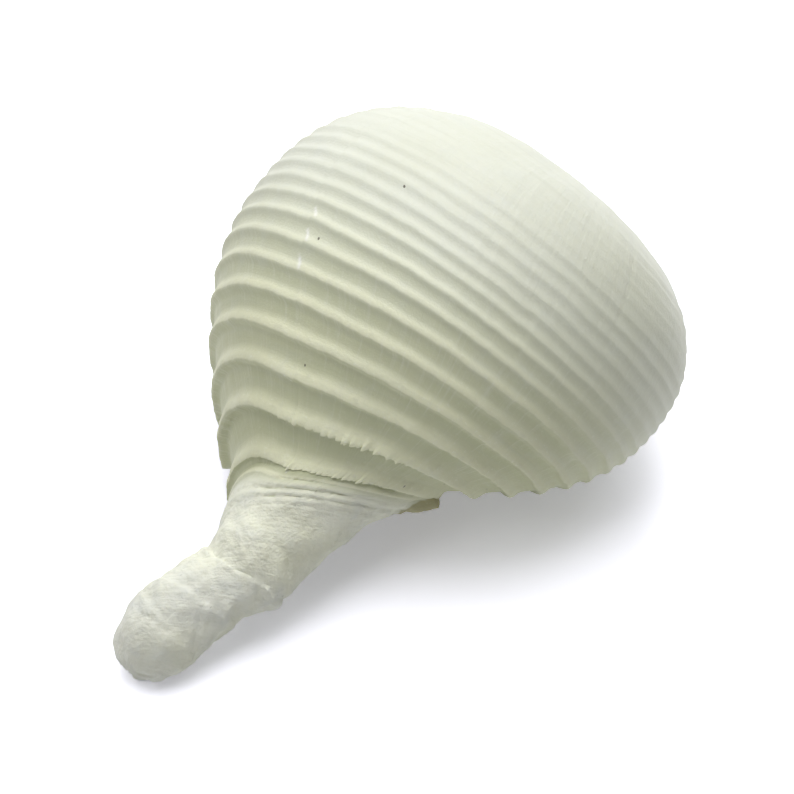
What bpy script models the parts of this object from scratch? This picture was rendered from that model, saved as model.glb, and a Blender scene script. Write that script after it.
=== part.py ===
"""Paper rapa shell: one dextral shell with a sunken spire, ribbed globe, open aperture and canal.

The whole shell follows one growth law: every turn is the turn before it, turned about the coiling
axis and made TURN_GROWTH times larger. Lengths below are millimetres on the dorsal meridian,
measured from the apex, with the coiling axis along +Z and the canal pointing down. The finished
solid is then laid on its aperture, as the shell rests on a table.
"""
import math

import bmesh
import bpy
import numpy as np
from mathutils import Matrix

MM = 0.001

# Coiling
TURN_GROWTH = 1.70
GROWTH_RATE = math.log(TURN_GROWTH) / math.tau
LIP_AZIMUTH = math.radians(-155.0)
GROWTH_LINE_LEAN = math.radians(22.0)
SPIRE_TURNS = 2
STEPS_PER_TURN = 44

# Whorl outline through the rib crests, as radius and height, from the suture to the base
SUTURE = (9.5, -1.75)
WHORL_OUTLINE = [
    SUTURE,
    (12.8, -1.95),
    (SUTURE[0] * TURN_GROWTH, SUTURE[1] * TURN_GROWTH),
    (20.8, -5.9),
    (24.8, -11.3),
    (26.2, -18.3),
    (25.0, -26.1),
    (21.1, -32.8),
    (15.1, -39.0),
    (8.9, -44.1),
]
SUTURE_ROWS = 3

# Spiral ribs, counted from the lowest one upward
RIB_COUNT = 14
STRONG_RIBS = 9
LOWEST_RIB_ABOVE_BASE = 0.9
WIDEST_RIB_SPACING = 5.4
RIB_SPACING_RATIO = 0.87
CLOSEST_RIB_SPACING = 1.9
RIB_HEIGHT_AT_BASE = 1.25
RIB_HEIGHT_AT_SHOULDER = 0.10
RIB_STEEP_SHARE = 0.22

# Droop of the lower ribs over the back: how far, over which arc it sets in, which growth angles
DROOP = 1.9
DROOP_REACH = (28.8, 6.3)
DROOP_ANGLES = (math.radians(54.0), math.radians(100.0), math.radians(195.0))

# Walls
WALL = 0.95
CALLUS = 0.45

# Neck and siphonal canal
NECK_ROWS = 6
NECK_LENGTH = 14.0
NECK_START_HANDLE = 0.08
NECK_END_HANDLE = 0.20
CANAL_ROWS = 6
CANAL_RADIUS = 5.5
CANAL_TIP_RADIUS = 4.9
CANAL_HEAD_HIGH = -50.0
CANAL_HEAD_DROP = 10.5
CANAL_ROUND_START = -71.0
CANAL_END = -75.6
CANAL_SHOULDER = -60.0
CANAL_SHOULDER_WIDTH = 0.6
SHOULDER_AZIMUTH = math.radians(80.0)
LAYER_HEIGHT = 0.12
NECK_DRIFT = 1.4
HEAD_DRIFT = 1.0
TIP_DRIFT = 2.5
CANAL_BEND = 2.5
SLOT_AZIMUTH = math.radians(-165.0)
SLOT_HALF_WIDTH = 1.5

# Inner lip, spread over the base beside the canal
INNER_LIP_SPREAD = math.radians(140.0)
INNER_LIP_RISE = 3.3

# Aperture: degrees behind the lip, canal depth, canal end height, groove half width, rib follow
MOUTH_RINGS = [
    (1.0, 1.0, -73.0, 1.8, 1.0),
    (9.0, 4.2, -70.0, 2.1, 0.9),
    (24.0, 4.8, -59.0, 1.6, 0.6),
]
# Body chamber: degrees behind the lip, and how far the floor still dips towards the canal
CHAMBER_RINGS = [
    (38.0, 0.5),
    (52.0, 0.35),
    (80.0, 0.0),
    (115.0, 0.0),
    (150.0, 0.0),
    (185.0, 0.0),
    (220.0, 0.0),
    (250.0, 0.0),
]
CANAL_THROAT = (-3.4, -1.8, -55.0)
CHAMBER_TAPER_FROM = 150.0
CHAMBER_END = 268.0
CHAMBER_FLOOR = (8.3, -41.0)
COLUMELLA = (6.6, -32.0)

# Resting pose on the aperture, and the depth of the flats worn where it touches
REST_PITCH = math.radians(16.50)
REST_ROLL = math.radians(21.90)
FLAT_DEPTH = 0.35


def smooth_step(value):
    value = min(max(value, 0.0), 1.0)
    return value * value * (3.0 - 2.0 * value)


def spline_through(points, samples=2000):
    """A natural cubic spline through the points, as dense points at even chord steps."""
    points = np.array(points, dtype=float)
    knots = np.concatenate([[0.0], np.cumsum(np.linalg.norm(np.diff(points, axis=0), axis=1))])
    gaps = np.diff(knots)
    count = len(points)
    system = np.eye(count)
    target = np.zeros_like(points)
    for i in range(1, count - 1):
        system[i, i - 1:i + 2] = gaps[i - 1], 2.0 * (gaps[i - 1] + gaps[i]), gaps[i]
        target[i] = 6.0 * ((points[i + 1] - points[i]) / gaps[i]
                           - (points[i] - points[i - 1]) / gaps[i - 1])
    bend = np.linalg.solve(system, target)
    where = np.linspace(0.0, knots[-1], samples)
    span = np.clip(np.searchsorted(knots, where, side="right") - 1, 0, count - 2)
    gap = gaps[span][:, None]
    before = (where - knots[span])[:, None]
    after = gap - before
    return (bend[span] * after ** 3 + bend[span + 1] * before ** 3) / (6.0 * gap) \
        + (points[span] / gap - bend[span] * gap / 6.0) * after \
        + (points[span + 1] / gap - bend[span + 1] * gap / 6.0) * before


class Outline:
    """The whorl outline by arc length, with its outward normal."""

    def __init__(self, points):
        self.points = spline_through(points)
        steps = np.linalg.norm(np.diff(self.points, axis=0), axis=1)
        self.arc = np.concatenate([[0.0], np.cumsum(steps)])
        tangent = np.gradient(self.points, self.arc, axis=0)
        tangent /= np.linalg.norm(tangent, axis=1)[:, None]
        self.normals = np.stack([-tangent[:, 1], tangent[:, 0]], axis=1)
        self.length = self.arc[-1]

    def at(self, arc, offset=0.0):
        point = [np.interp(arc, self.arc, self.points[:, axis]) for axis in range(2)]
        normal = [np.interp(arc, self.arc, self.normals[:, axis]) for axis in range(2)]
        return point[0] + normal[0] * offset, point[1] + normal[1] * offset

    def arc_at_point(self, number):
        """Arc length of one of the outline's own points."""
        steps = np.linalg.norm(np.diff(WHORL_OUTLINE, axis=0), axis=1)
        share = sum(steps[:number]) / sum(steps)
        return np.interp(share, np.linspace(0.0, 1.0, len(self.arc)), self.arc)


OUTLINE = Outline(WHORL_OUTLINE)
COVERED_ARC = OUTLINE.arc_at_point(2)


def rib_height(arc):
    """Height of a rib crest above its valley, growing from the shoulder to the base."""
    share = max(arc - COVERED_ARC, 0.0) / (OUTLINE.length - COVERED_ARC)
    return RIB_HEIGHT_AT_SHOULDER + (RIB_HEIGHT_AT_BASE - RIB_HEIGHT_AT_SHOULDER) * share ** 2.3


def whorl_rows():
    """Rows of one turn as (arc length, offset from the crest line), suture to base."""
    crests = [OUTLINE.length - LOWEST_RIB_ABOVE_BASE]
    spacings = []
    for number in range(RIB_COUNT - 1):
        spacing = max(WIDEST_RIB_SPACING * RIB_SPACING_RATIO ** number, CLOSEST_RIB_SPACING)
        spacings.append(spacing)
        crests.append(crests[-1] - spacing)
    spacings.append(CLOSEST_RIB_SPACING)
    rows = [(COVERED_ARC * step / SUTURE_ROWS, 0.0) for step in range(SUTURE_ROWS + 1)]
    first_valley = crests[-1] - CLOSEST_RIB_SPACING
    rows.append(((COVERED_ARC + first_valley) / 2.0, -rib_height(COVERED_ARC)))
    for number in reversed(range(RIB_COUNT)):
        crest, spacing, height = crests[number], spacings[number], rib_height(crests[number])
        rows.append((crest - spacing * (1.0 - RIB_STEEP_SHARE), -height))
        if number < STRONG_RIBS:
            rows.append((crest - spacing * 0.36, -0.55 * height))
        rows.append((crest, 0.0))
    rows.append((OUTLINE.length, -0.7 * RIB_HEIGHT_AT_BASE))
    return rows


ROWS = whorl_rows()
BASE_ROW = len(ROWS) - 1
CANAL_ROW = BASE_ROW + NECK_ROWS
SLOT_END_ROW = CANAL_ROW + CANAL_ROWS
TIP_ANGLES = [math.radians(angle) for angle in (28.0, 58.0)]


def lean(arc):
    """How far the growth lines lag behind the suture at this arc length."""
    share = (arc - COVERED_ARC) / (OUTLINE.length - COVERED_ARC)
    return GROWTH_LINE_LEAN * smooth_step(share)


def on_axis(radius, height, azimuth):
    return np.array([radius * math.sin(azimuth), -radius * math.cos(azimuth), height])


def whorl_point(arc, offset, theta, turn_back=0):
    """A point of the whorl surface at growth angle theta, or on the turns inside it."""
    azimuth = LIP_AZIMUTH - theta + lean(arc)
    scale = math.exp(-GROWTH_RATE * azimuth) / TURN_GROWTH ** turn_back
    radius, height = OUTLINE.at(arc, offset)
    return on_axis(radius * scale, height * scale, azimuth)


def canal_centre(height):
    """The canal drifts towards the outer lip and bends down to the table."""
    drift = NECK_DRIFT + HEAD_DRIFT * smooth_step((CANAL_HEAD_HIGH - height) / 7.0) \
        + TIP_DRIFT * smooth_step((-57.3 - height) / 12.0)
    bend = CANAL_BEND * (max(CANAL_HEAD_HIGH - height, 0.0) / 25.0) ** 2
    return np.array([-drift, bend, height])


def canal_radius(height, azimuth):
    radius = CANAL_RADIUS + (CANAL_TIP_RADIUS - CANAL_RADIUS) * smooth_step((-56.0 - height) / 5.0)
    facing = max(math.cos(azimuth - SHOULDER_AZIMUTH), 0.0) ** 2
    below = smooth_step((CANAL_SHOULDER + 0.6 - height) / 1.2)
    above = smooth_step((CANAL_SHOULDER + 5.0 - height) / 3.5)
    layers = LAYER_HEIGHT * math.sin(height * 1.35 + azimuth) * smooth_step((-52.0 - height) / 5.0)
    return radius + CANAL_SHOULDER_WIDTH * facing * (1.0 - below) * above + layers


def canal_azimuth(theta, half_gap):
    return SLOT_AZIMUTH + half_gap - (math.tau - 2.0 * half_gap) * theta / math.tau


def canal_point(height, azimuth, shrink=1.0):
    centre = canal_centre(height)
    radius = canal_radius(height, azimuth) * shrink
    return centre + np.array([radius * math.sin(azimuth), -radius * math.cos(azimuth), 0.0])


def canal_head(theta):
    """Height at which the neck has become the canal; it drops along the turn."""
    return CANAL_HEAD_HIGH - CANAL_HEAD_DROP * ((theta + math.tau) / math.tau) ** 1.2


def neck_curve(start, heading, end, share):
    """Cubic curve from the whorl base, along its slope, into the upright canal."""
    reach = np.linalg.norm(end - start)
    upright = np.array([0.0, 0.0, 1.0])
    handles = [start, start + heading * reach * NECK_START_HANDLE,
               end + upright * reach * NECK_END_HANDLE, end]
    weights = [(1 - share) ** 3, 3 * share * (1 - share) ** 2, 3 * share ** 2 * (1 - share), share ** 3]
    return sum(weight * handle for weight, handle in zip(weights, handles))


def base_heading(theta):
    heading = whorl_point(OUTLINE.length, 0.0, theta) - whorl_point(OUTLINE.length - 3.0, 0.0, theta)
    return heading / np.linalg.norm(heading)


def droop(arc, theta):
    """How far the lower ribs hang towards the canal over the back, dying out at the base."""
    above = OUTLINE.length - arc
    far, near = DROOP_REACH
    down = min(max((far - above) / (far - near), 0.0), 1.0) ** 0.8
    begin, full, end = DROOP_ANGLES
    along = smooth_step((-theta - begin) / (full - begin)) \
        * (1.0 - smooth_step((-theta - full) / (end - full)))
    return min(DROOP * down * along, 0.75 * above)


def inner_lip_rise(theta, below_base):
    """The inner lip stands off the base for a third of a turn, with a steep free edge."""
    behind = theta + math.tau
    along = 1.0 - smooth_step((behind / INNER_LIP_SPREAD - 0.82) / 0.18)
    across = math.exp(-((below_base - 1.8) / 3.2) ** 2)
    return INNER_LIP_RISE * along * across * (0.35 + 0.65 * min(behind / math.radians(40.0), 1.0))


def outer_column(theta):
    """One growth line of the outer surface, from the suture to the canal tip."""
    points = [whorl_point(arc + droop(arc, theta), offset, theta) for arc, offset in ROWS]
    head = canal_head(theta)
    half_gap = SLOT_HALF_WIDTH / CANAL_RADIUS
    head_point = canal_point(head, canal_azimuth(theta, half_gap))
    start, heading = points[-1], base_heading(theta)
    for step in range(1, NECK_ROWS + 1):
        points.append(neck_curve(start, heading, head_point, step / NECK_ROWS))
    below_base = [arc - OUTLINE.length for arc, _ in ROWS]
    below_base += [NECK_LENGTH * step / NECK_ROWS for step in range(1, NECK_ROWS + 1)]
    for row, below in enumerate(below_base):
        away = points[row] * np.array([1.0, 1.0, 0.0])
        points[row] = points[row] + away / np.linalg.norm(away) * inner_lip_rise(theta, below)
    for step in range(1, CANAL_ROWS + 1):
        share = step / CANAL_ROWS
        height = head + (CANAL_ROUND_START - head) * share
        points.append(canal_point(height, canal_azimuth(theta, half_gap * (1.0 - share ** 4))))
    for angle in TIP_ANGLES:
        height = CANAL_ROUND_START + (CANAL_END - CANAL_ROUND_START) * math.sin(angle)
        points.append(canal_point(height, canal_azimuth(theta, 0.0), math.cos(angle)))
    points.append(canal_centre(CANAL_END))
    return points


def chamber_outer(arc, theta, follow, shrink=0.0):
    """Inside of the outer wall; it follows the ribs near the lip and smooths out behind it."""
    rows_arc = [row[0] for row in ROWS]
    relief = np.interp(arc, rows_arc, [row[1] for row in ROWS])
    offset = follow * relief - (1.0 - follow) * rib_height(arc) - WALL
    return whorl_point(arc, offset - shrink, theta)


def chamber_inner(arc, theta, callus):
    """Parietal wall: the turn before, under a smooth callus."""
    offset = -rib_height(arc) * 0.3 + callus
    return whorl_point(arc, offset, theta, turn_back=1)


CHAMBER_CORNER_ARC = COVERED_ARC * 0.62


def squeezed(arc, start, first, reach):
    """Moves arc lengths near the suture past the corner of the chamber, leaving the rest."""
    share = max(1.0 - (arc - start) / reach, 0.0)
    return arc + (first - start) * share ** 2


def mouth_ring(depth, end_height, half_width, theta, follow):
    """A ring of the aperture and canal groove, a little inside the lip."""
    slot = np.array([math.sin(SLOT_AZIMUTH), -math.cos(SLOT_AZIMUTH), 0.0])
    lip_side = np.array([math.cos(SLOT_AZIMUTH), math.sin(SLOT_AZIMUTH), 0.0])

    def groove(height, side, share):
        across = half_width * math.sqrt(max(1.0 - share ** 4, 0.0)) * side
        centre = canal_centre(height)
        return centre + slot * (canal_radius(height, SLOT_AZIMUTH) - depth) + lip_side * across

    outer = []
    for arc, _ in ROWS:
        outer.append(chamber_outer(squeezed(arc, 0.0, CHAMBER_CORNER_ARC, 16.0), theta, follow))
    inner = []
    for arc, _ in ROWS[SUTURE_ROWS:]:
        inner.append(chamber_inner(squeezed(arc, COVERED_ARC, COVERED_ARC + 3.0, 14.0), theta, CALLUS))
    corner = (outer[0] + inner[0]) / 2.0
    outer[0] = corner
    for side, line, behind in ((1.0, outer, theta), (-1.0, inner, theta - math.tau)):
        head = canal_head(max(behind, -math.tau))
        heading = base_heading(theta)
        head_point = groove(head, side, 0.0)
        start = line[-1]
        for step in range(1, NECK_ROWS + 1):
            line.append(neck_curve(start, heading, head_point, step / NECK_ROWS))
        for step in range(1, CANAL_ROWS + 1):
            share = step / CANAL_ROWS
            line.append(groove(head + (end_height - head) * share, side, share))
    return outer + inner[-2:0:-1]


def chamber_ring(theta, dip, shrink):
    """A ring of the body chamber behind the aperture, down to its floor on the columella."""
    outer = []
    for arc, _ in ROWS:
        outer.append(chamber_outer(squeezed(arc, 0.0, CHAMBER_CORNER_ARC, 16.0), theta, 0.3))
    inner = []
    for arc, _ in ROWS[SUTURE_ROWS:]:
        inner.append(chamber_inner(squeezed(arc, COVERED_ARC, COVERED_ARC + 3.0, 14.0), theta, CALLUS))
    outer[0] = (outer[0] + inner[0]) / 2.0
    azimuth = LIP_AZIMUTH - theta + GROWTH_LINE_LEAN
    scale = math.exp(-GROWTH_RATE * azimuth)
    floor = on_axis(CHAMBER_FLOOR[0] * scale, CHAMBER_FLOOR[1] * scale, azimuth)
    floor = floor + (np.array(CANAL_THROAT) - floor) * dip
    column = on_axis(COLUMELLA[0] * scale, COLUMELLA[1] * scale, azimuth)
    count = NECK_ROWS + CANAL_ROWS
    outer_end, inner_end = outer[-1], inner[-1]
    for step in range(1, count + 1):
        share = step / count
        outer.append(outer_end + (floor - outer_end) * share)
        inner.append((1 - share) ** 2 * inner_end + 2 * share * (1 - share) * column + share ** 2 * floor)
    ring = outer + inner[-2:0:-1]
    centre = sum(ring) / len(ring)
    return [centre + (point - centre) * (1.0 - shrink) for point in ring]


def shell_mesh():
    """All vertices and faces of the shell about its coiling axis, still to be welded."""
    verts, faces = [], []
    count = STEPS_PER_TURN

    def add_grid(columns):
        first = len(verts)
        height = len(columns[0])
        for column in columns:
            verts.extend(column)
        for j in range(len(columns) - 1):
            for i in range(height - 1):
                corner = first + j * height + i
                faces.append((corner, corner + 1, corner + height + 1, corner + height))

    thetas = [-math.tau + math.tau * step / count for step in range(count + 1)]
    outer = [outer_column(theta) for theta in thetas]
    add_grid(outer)

    spire = []
    for step in range(SPIRE_TURNS * count + 1):
        theta = -math.tau * (1 + SPIRE_TURNS) + math.tau * step / count
        spire.append([whorl_point(arc, 0.0, theta) for arc, _ in ROWS[:SUTURE_ROWS + 1]])
    add_grid(spire)
    apex = [column[0] for column in spire[:count + 1]] + spire[0][SUTURE_ROWS - 1:0:-1]
    add_grid([apex + apex[:1], [sum(apex) / len(apex)] * (len(apex) + 1)])

    rim = outer[-1][:SLOT_END_ROW + 1] + outer[0][SLOT_END_ROW - 1:SUTURE_ROWS:-1]
    rings = [rim]
    for behind, depth, end_height, half_width, follow in MOUTH_RINGS:
        rings.append(mouth_ring(depth, end_height, half_width, -math.radians(behind), follow))
    for behind, dip in CHAMBER_RINGS:
        taper = max(behind - CHAMBER_TAPER_FROM, 0.0) / (CHAMBER_END - CHAMBER_TAPER_FROM)
        rings.append(chamber_ring(-math.radians(behind), dip, 1.0 - math.sqrt(1.0 - taper ** 2)))
    last = chamber_ring(-math.radians(CHAMBER_END), 0.0, 0.0)
    end = sum(last) / len(last)
    rings.append([end] * len(rim))
    add_grid([ring + ring[:1] for ring in rings])
    return verts, faces


def resting_turn():
    """Turns the coiling axis from upright to lying, canal forward and down."""
    lay_down = Matrix.Rotation(math.radians(-90.0), 4, "X")
    roll = Matrix.Rotation(REST_ROLL, 4, "Z")
    pitch = Matrix.Rotation(REST_PITCH, 4, "X")
    return pitch @ lay_down @ roll


def shell_material():
    material = bpy.data.materials.new("papery_white_shell")
    material.use_nodes = True
    shader = material.node_tree.nodes["Principled BSDF"]
    shader.inputs["Base Color"].default_value = (0.76, 0.77, 0.66, 1.0)
    shader.inputs["Roughness"].default_value = 0.55
    shader.inputs["Metallic"].default_value = 0.0
    return material


def wear_flats(work):
    """Wears the touching points flat and brings them to the floor, centred over the origin."""
    floor = min(vert.co.z for vert in work.verts) + FLAT_DEPTH * MM
    everything = work.verts[:] + work.edges[:] + work.faces[:]
    bmesh.ops.bisect_plane(work, geom=everything, dist=1e-7, plane_co=(0.0, 0.0, floor),
                           plane_no=(0.0, 0.0, -1.0), clear_outer=True)
    bmesh.ops.holes_fill(work, edges=[edge for edge in work.edges if edge.is_boundary])
    bmesh.ops.triangulate(work, faces=[face for face in work.faces if len(face.verts) > 4])
    low = [min(vert.co[axis] for vert in work.verts) for axis in range(3)]
    high = [max(vert.co[axis] for vert in work.verts) for axis in range(3)]
    centre = Matrix.Translation((-(low[0] + high[0]) / 2.0, -(low[1] + high[1]) / 2.0, -low[2]))
    work.transform(centre)


def build_shell():
    verts, faces = shell_mesh()
    mesh = bpy.data.meshes.new("shell")
    mesh.from_pydata([tuple(point * MM) for point in verts], [], faces)
    work = bmesh.new()
    work.from_mesh(mesh)
    bmesh.ops.remove_doubles(work, verts=work.verts, dist=0.00001)
    bmesh.ops.dissolve_degenerate(work, edges=work.edges, dist=0.000001)
    bmesh.ops.recalc_face_normals(work, faces=work.faces)
    work.transform(resting_turn())
    wear_flats(work)
    work.to_mesh(mesh)
    work.free()
    shell = bpy.data.objects.new("shell", mesh)
    bpy.context.scene.collection.objects.link(shell)
    mesh.materials.append(shell_material())
    return shell


def main():
    for old in list(bpy.data.objects):
        bpy.data.objects.remove(old)
    build_shell()


main()
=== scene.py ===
"""Paper rapa shell, laid on its aperture: scales, growth lines and layered canal over the solid."""
import math
from math import radians, tau

import bpy
import numpy as np
from mathutils import Matrix, Vector


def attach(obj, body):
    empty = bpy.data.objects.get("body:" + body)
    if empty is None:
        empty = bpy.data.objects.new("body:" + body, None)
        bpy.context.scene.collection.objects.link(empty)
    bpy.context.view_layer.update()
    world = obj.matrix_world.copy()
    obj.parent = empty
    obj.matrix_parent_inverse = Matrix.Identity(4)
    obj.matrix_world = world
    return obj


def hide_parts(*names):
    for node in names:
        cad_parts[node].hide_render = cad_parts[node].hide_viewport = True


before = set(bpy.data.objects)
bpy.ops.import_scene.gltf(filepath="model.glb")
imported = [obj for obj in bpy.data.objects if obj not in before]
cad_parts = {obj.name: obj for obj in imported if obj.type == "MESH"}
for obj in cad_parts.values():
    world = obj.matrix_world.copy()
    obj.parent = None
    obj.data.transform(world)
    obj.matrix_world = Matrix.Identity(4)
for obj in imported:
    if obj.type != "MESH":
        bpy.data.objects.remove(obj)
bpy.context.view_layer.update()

bl_info = {
    "name": "Paper Rapa Shell",
    "version": (1, 0, 0),
    "blender": (4, 5, 0),
    "location": "3D View > Sidebar > Rapa Shell",
    "description": "Builds a thin ribbed rapa shell and the plain stage it lies on",
    "category": "Add Mesh",
}

MM = 0.001
SEED = 20

# Growth law, in millimetres about the coiling axis, apex at the origin and canal downward
TURN_GROWTH = 1.70
GROWTH_RATE = math.log(TURN_GROWTH) / tau
LIP_AZIMUTH = radians(-155.0)
GROWTH_LINE_LEAN = radians(22.0)
SPIRE_TURNS = 3
MEAN_RADIUS = 25.0
SUTURE = (9.5, -1.75)
WHORL_OUTLINE = [
    SUTURE,
    (12.8, -1.95),
    (SUTURE[0] * TURN_GROWTH, SUTURE[1] * TURN_GROWTH),
    (20.8, -5.9),
    (24.8, -11.3),
    (26.2, -18.3),
    (25.0, -26.1),
    (21.1, -32.8),
    (15.1, -39.0),
    (8.9, -44.1),
]

# How the shell lies: tip of the canal down, rolled on its lip, apex at this place
REST_PITCH = radians(16.50)
REST_ROLL = radians(21.90)
APEX_PLACE = (3.6113, 35.4651, 24.6260)

# Spiral ribs
RIB_COUNT = 14
LOWEST_RIB_ABOVE_BASE = 0.9
WIDEST_RIB_SPACING = 5.4
RIB_SPACING_RATIO = 0.87
CLOSEST_RIB_SPACING = 1.9
RIB_HEIGHT_AT_BASE = 1.25
RIB_HEIGHT_AT_SHOULDER = 0.14
SHOULDER_THREADS = 5
NECK_RIBS = 6
NECK_RIB_SPACING = 2.3

# Droop of the lower ribs over the back: how far, over which arc it sets in, which growth angles
DROOP = 1.9
DROOP_REACH = (28.8, 6.3)
DROOP_ANGLES = (radians(54.0), radians(100.0), radians(195.0))

# Scales: where the two lowest ribs are scaly, strengths on their crests, the others and the neck,
# how much they crumble, and how far crests and scales lean towards the canal
SCALY_ANGLE = radians(-125.0)
SCALY_SPREAD = radians(38.0)
FIRST_SCALE_ANGLE = -4.5
SCALY_STRENGTH = 1.5
FAINT_STRENGTH = 0.35
NECK_STRENGTH = 0.9
CRUMBLING = 0.5
CREST_OVERHANG = 0.14
SCALE_OVERHANG = 0.65

# Growth angles of two healed breaks of the lip, and how far the ribs jump at the later one
SCAR_ANGLE = radians(-89.0)
OLD_SCAR_ANGLE = radians(-178.0)
SCAR_JUMP = 0.06

# Pale ticks of the later break: the rib they touch, growth angle, arc from its crest to their ends
SCAR_TICKS = (
    (11, -90.0, -1.2, -0.1),
    (12, -89.5, -1.4, 0.0),
    (13, -88.5, -1.5, 0.1),
    (16, -85.5, 0.1, 0.9),
    (18, -92.0, 0.3, 1.2),
)

# The neck ribs close up over this stretch of growth angle: where it starts and how long it is
NECK_RIB_FAN = (radians(110.0), radians(110.0))

# Noise laid over the whorl: height, waves per radian along the growth, waves per mm down, seed
WAVER = ((0.14, 5.0, 0.22, 2), (0.07, 17.0, 0.5, 3))
CREST_WAVER = ((0.07, 34.0, 0.6, 7),)
SWELL = ((0.10, 3.0, 0.12, 4), (0.05, 9.0, 0.4, 6))

# Growth lines and healed breaks: heights, and the width of a break in growth angle
GROWTH_LINE_HEIGHT = 0.05
SCAR_DEPTH = 0.05
SCAR_WIDTH = 0.012

# Walls
WALL = 0.95
CALLUS = 0.45

# Neck and canal; a stretch is the height where it starts and how far down it runs
NECK_START_HANDLE = 0.08
NECK_END_HANDLE = 0.20
CANAL_RADIUS = 5.5
CANAL_TIP_RADIUS = 4.9
CANAL_HEAD_HIGH = -50.0
CANAL_HEAD_DROP = 10.5
CANAL_ROUND_START = -71.0
CANAL_END = -75.6
NARROWING_STRETCH = (-56.0, 5.0)
CANAL_SHOULDER = -60.0
CANAL_SHOULDER_WIDTH = 0.6
SHOULDER_AZIMUTH = radians(80.0)
NECK_DRIFT = 1.4
HEAD_DRIFT = 1.0
TIP_DRIFT = 2.5
TIP_DRIFT_STRETCH = (-57.3, 12.0)
CANAL_BEND = 2.5
CHALK_SUNK = 0.12
CANAL_LENGTH = 25.0
SLOT_AZIMUTH = radians(-165.0)
SLOT_HALF_WIDTH = 1.5
INNER_LIP_SPREAD = radians(140.0)
INNER_LIP_RISE = 3.3
NECK_LENGTH = 14.0

# Aperture and chamber
MOUTH_ANGLES = (0.0, 1.0, 9.0, 24.0)
MOUTH_DEPTH = (0.6, 1.0, 4.2, 4.8)
MOUTH_END = (-73.6, -73.0, -70.0, -59.0)
MOUTH_HALF_WIDTH = (1.7, 1.8, 2.1, 1.6)
MOUTH_FOLLOW = (1.0, 1.0, 0.9, 0.6)
CHAMBER_FROM = 38.0
CHAMBER_DIP_ANGLES = (38.0, 52.0, 80.0)
CHAMBER_DIP = (0.5, 0.35, 0.0)
CANAL_THROAT = (-3.4, -1.8, -55.0)
CHAMBER_TAPER_FROM = 150.0
CHAMBER_END = 268.0
CHAMBER_FLOOR = (8.3, -41.0)
COLUMELLA = (6.6, -32.0)
RING_ANGLES = (0.35, 1.0, 2.2, 4.5, 9.0, 16.0, 24.0, 31.0, 38.0, 45.0, 52.0, 66.0, 80.0, 97.0,
               115.0, 132.0, 150.0, 168.0, 185.0, 203.0, 220.0, 236.0, 250.0, 260.0)

# Fineness of the mesh
COLUMNS = 312
SHOULDER_ROWS = 20
SUTURE_ROWS = 9
RIB_STEPS = (0.04, 0.09, 0.14, 0.19, 0.25, 0.35, 0.49, 0.63, 0.75, 0.85, 0.93, 1.0)
FINE_RIB_STEPS = (0.12, 0.27, 0.45, 0.64, 0.82, 1.0)
STRONG_RIBS = 9
NECK_ROWS = 30
CANAL_ROWS = 54
TIP_ROWS = 8
WELD_DISTANCE = 0.000012
CUT_DISTANCE = 0.0000001
SMOOTH_UNDER = radians(60.0)

# Masks that the finish reads at each point
MASKS = ("lower", "neck", "shaded", "valley", "crest", "chalk", "inner_lip", "scar", "inside")

# Colours laid thinly over the main ones
NECK_WHITE = (0.94, 0.95, 0.80)
# Olive painted shade for the whorl's back and lip side, where it turns from the light
PAINTED_SHADE_OLIVE = (0.24, 0.24, 0.08)
# Olive mottle at random, heavier in the grooves and on the canal as painted shade
OLIVE_MOTTLE_AND_SHADE = (0.69, 0.69, 0.49)
# Grey-green patches at random, most on the canal
COOL_MOTTLE = (0.70, 0.73, 0.70)
PALE_STRIAE = (0.88, 0.89, 0.80)
GREY_THREADS = (0.60, 0.62, 0.50)
CHAMBER_CREAM = (0.72, 0.70, 0.56)
SCAR_WHITE = (0.98, 0.98, 0.93)
CHALK_SPECKS = (0.95, 0.96, 0.88)
PIT_OLIVE = (0.58, 0.58, 0.44)
PINHOLE_BROWN = (0.10, 0.09, 0.06)

# Camera: how the coiling axis stands to it, and where the view's centre lies from the apex
VIEW_TURN = radians(40.46)
VIEW_TILT = radians(11.75)
CAMERA_DISTANCE = 2.0
SENSOR_WIDTH = 36.0
FRAME_WIDTH = 0.0901
FRAME_CENTRE = (-21.92, -22.53)
AIM_DEPTH = 12.0

# Soft lights: elevation, turn round the upright from the far side of the view, strength
LIGHTS = {
    "overhead": (88.0, 0.0, 0.80),
    "far": (62.0, 0.0, 0.80),
    "right": (62.0, 60.0, 0.46),
    "left_near": (62.0, 240.0, 0.48),
    "left_far": (62.0, 300.0, 0.48),
    "far_low": (32.0, 0.0, 0.56),
    "glancing": (10.0, 30.0, 0.26),
}
LIGHT_SPREAD = radians(28.0)

# Floor, and the backgrounds that the eye sees
FLOOR_GREY = (0.85, 0.855, 0.87, 1.0)
FLOOR_SEEN = (1.38, 1.38, 1.50, 1.0)
FLOOR_GLOW = (0.96, 0.96, 1.02, 1.0)
FLOOR_GLOW_STRENGTH = 0.28
SKY_WHITE = (1.0, 1.0, 1.0, 1.0)
SKY_SEEN = (0.8, 0.8, 0.8, 1.0)


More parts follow.
